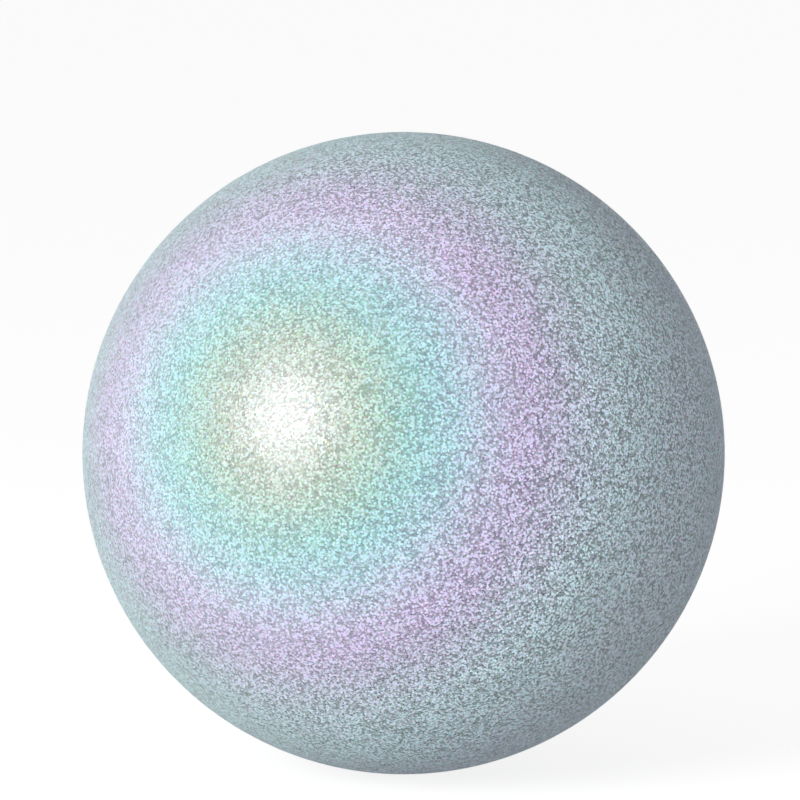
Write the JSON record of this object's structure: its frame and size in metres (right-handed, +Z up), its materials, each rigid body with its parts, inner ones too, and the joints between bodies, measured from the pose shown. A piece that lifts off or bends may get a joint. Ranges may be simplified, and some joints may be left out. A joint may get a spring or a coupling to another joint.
{
  "type": "rhythmic gymnastics ball",
  "caption": "Seamless round gymnastics ball: a clear soft outer layer filled with iridescent flakes over an airtight casing, with a flush valve whose plug pulls out for pumping.",
  "frame": {"origin": "centre of the ball", "axes": "+Z up as pictured, +Y along the valve's axis, out of the ball at the back; the picture looks along +Y"},
  "size_m": [0.185, 0.1848, 0.185],
  "materials": {
    "glitter_layer": "satin, clear soft plastic filled with fine iridescent flakes",
    "casing": "soft moulded, matt grey",
    "seat": "soft moulded, satin pale grey",
    "plug": "moulded, satin white"
  },
  "bodies": {
    "ball": {"glitter_skin": "glitter_layer", "inner_casing": "casing", "valve_seat": "seat"},
    "plug": {"valve_plug": "plug"}
  },
  "joints": [
    {"name": "plug_pull", "type": "slide", "parent": "ball", "child": "plug", "axis": [0, 1, 0], "range_m": [0, 0.02]}
  ]
}
